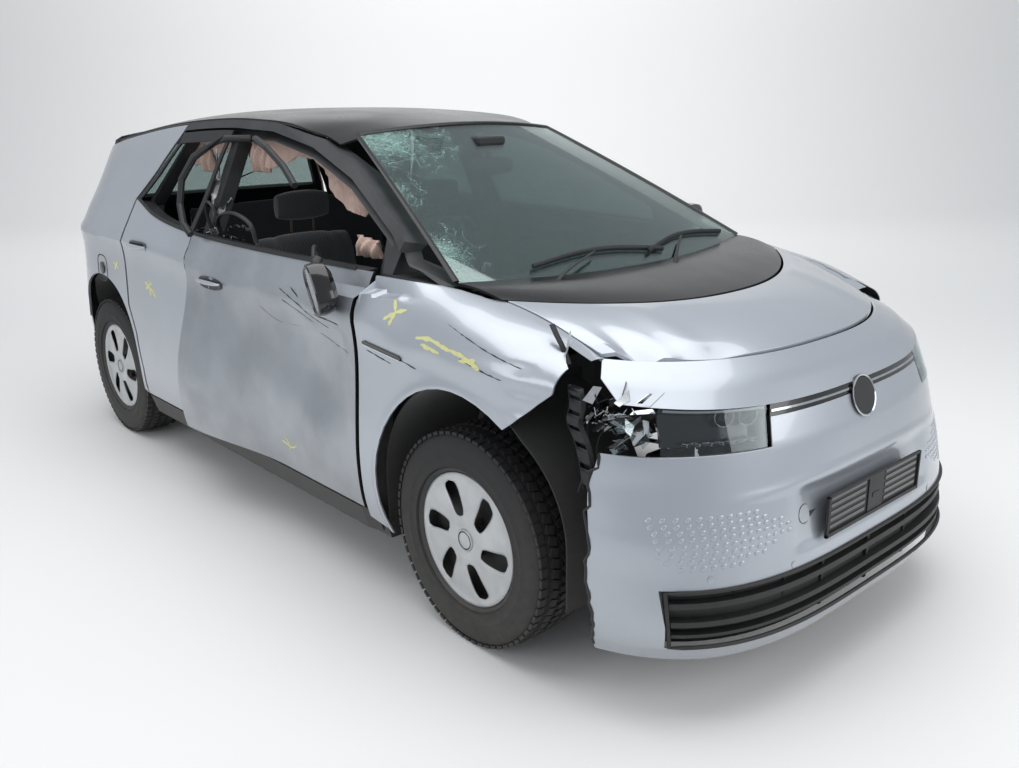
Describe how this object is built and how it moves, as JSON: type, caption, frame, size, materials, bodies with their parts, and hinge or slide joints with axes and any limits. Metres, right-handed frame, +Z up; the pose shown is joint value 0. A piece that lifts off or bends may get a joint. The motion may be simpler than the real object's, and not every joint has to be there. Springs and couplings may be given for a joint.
{
  "type": "crash-damaged compact electric hatchback car",
  "caption": "Five-door hatchback with crushed right front corner and jammed right doors; opening left doors, bonnet and tailgate, steering front wheels and turning road wheels.",
  "frame": {"origin": "on the ground under the middle of the car's box", "axes": "+X forward, +Y to the car's left, +Z up"},
  "size_m": [4.299, 2.0336, 1.6001],
  "materials": {
    "silver_paint": "metallic clear coat, scratched and dented on the right-hand side",
    "black_paint": "gloss black",
    "black_plastic": "grained",
    "clear_glass": "tinted, the windscreen cracked",
    "seat_cloth": "woven",
    "airbag_cloth": "slack woven nylon",
    "lamp_red": "clear red",
    "floor_paint": "satin primer",
    "cast_metal": "as cast",
    "iron": "dull, light surface rust",
    "wheel_cover": "silver paint",
    "tyre": "worn"
  },
  "bodies": {
    "car": {"floor_pan": "floor_paint", "battery_pack": "cast_metal", "drive_motor": "cast_metal", "side_frames": "black_paint", "rear_quarters": "silver_paint", "roof_panel": "black_paint", "windscreen": "clear_glass", "cowl_panel": "black_paint", "dashboard": "black_plastic", "seats": "seat_cloth", "curtain_airbag_right": "airbag_cloth", "front_wing_left": "silver_paint", "front_wing_right": "silver_paint", "front_bumper": "silver_paint", "nose_trim": "black_plastic", "headlamps": "clear_glass", "front_door_right": "silver_paint", "rear_door_right": "silver_paint", "mirror_right": "black_plastic", "bent_window_frame": "black_plastic", "rear_bumper": "silver_paint", "tail_lamps": "lamp_red", "arch_liners": "black_plastic", "front_frame": "floor_paint", "rear_axle": "iron"},
    "bonnet_lid": {"bonnet": "silver_paint"},
    "front_left_door": {"front_door_left": "silver_paint", "door_glass_front_left": "clear_glass", "mirror_left": "black_plastic"},
    "rear_left_door": {"rear_door_left": "silver_paint", "door_glass_rear_left": "clear_glass"},
    "tail_lid": {"tailgate": "silver_paint", "tailgate_glass": "clear_glass"},
    "hand_wheel": {"steering_wheel": "black_plastic"},
    "rack": {"steering_rack": "iron"},
    "steer_left": {"knuckle_left": "iron"},
    "steer_right": {"knuckle_right": "iron"},
    "road_wheel_front_left": {"wheel_front_left": "wheel_cover", "tyre_front_left": "tyre"},
    "road_wheel_front_right": {"wheel_front_right": "wheel_cover", "tyre_front_right": "tyre"},
    "road_wheel_rear_left": {"wheel_rear_left": "wheel_cover", "tyre_rear_left": "tyre"},
    "road_wheel_rear_right": {"wheel_rear_right": "wheel_cover", "tyre_rear_right": "tyre"}
  },
  "joints": [
    {"name": "bonnet_hinge", "type": "hinge", "parent": "car", "child": "bonnet_lid", "pos_m": [1.316, 0, 1.068], "axis": [0, -1, 0], "range_deg": [0, 55]},
    {"name": "front_left_door_hinge", "type": "hinge", "parent": "car", "child": "front_left_door", "pos_m": [0.745, 0.882, 0.7], "axis": [0, 0, -1], "range_deg": [0, 66]},
    {"name": "rear_left_door_hinge", "type": "hinge", "parent": "car", "child": "rear_left_door", "pos_m": [-0.505, 0.882, 0.7], "axis": [0, 0, -1], "range_deg": [0, 66]},
    {"name": "tailgate_hinge", "type": "hinge", "parent": "car", "child": "tail_lid", "pos_m": [-1.657, 0, 1.53], "axis": [0, 1, 0], "range_deg": [0, 75]},
    {"name": "steering_left", "type": "hinge", "parent": "car", "child": "steer_left", "pos_m": [1.3, 0.69, 0.2], "axis": [0, -0.1372, 0.9905], "range_deg": [-35, 35]},
    {"name": "steering_right", "type": "hinge", "parent": "car", "child": "steer_right", "pos_m": [1.3, -0.69, 0.2], "axis": [0, 0.1372, 0.9905], "range_deg": [-35, 35]},
    {"name": "steering_wheel_turn", "type": "hinge", "parent": "car", "child": "hand_wheel", "pos_m": [0.64, 0.37, 0.86], "axis": [-0.9135, 0, 0.4067], "range_deg": [-530, 530]},
    {"name": "rack_slide", "type": "slide", "parent": "car", "child": "rack", "axis": [0, 1, 0], "range_m": [-0.066, 0.066]},
    {"name": "wheel_front_left_spin", "type": "hinge", "parent": "steer_left", "child": "road_wheel_front_left", "pos_m": [1.3, 0.765, 0.347], "axis": [0, 1, 0], "continuous": true},
    {"name": "wheel_front_right_spin", "type": "hinge", "parent": "steer_right", "child": "road_wheel_front_right", "pos_m": [1.3, -0.765, 0.347], "axis": [0, 1, 0], "continuous": true},
    {"name": "wheel_rear_left_spin", "type": "hinge", "parent": "car", "child": "road_wheel_rear_left", "pos_m": [-1.47, 0.765, 0.347], "axis": [0, 1, 0], "continuous": true},
    {"name": "wheel_rear_right_spin", "type": "hinge", "parent": "car", "child": "road_wheel_rear_right", "pos_m": [-1.47, -0.765, 0.347], "axis": [0, 1, 0], "continuous": true}
  ],
  "couplings": [
    {"joint": "steering_right", "follows": "steering_left", "ratio": 1},
    {"joint": "rack_slide", "follows": "steering_left", "m_per_rad": -0.1033},
    {"joint": "steering_wheel_turn", "follows": "steering_left", "ratio": 15}
  ]
}
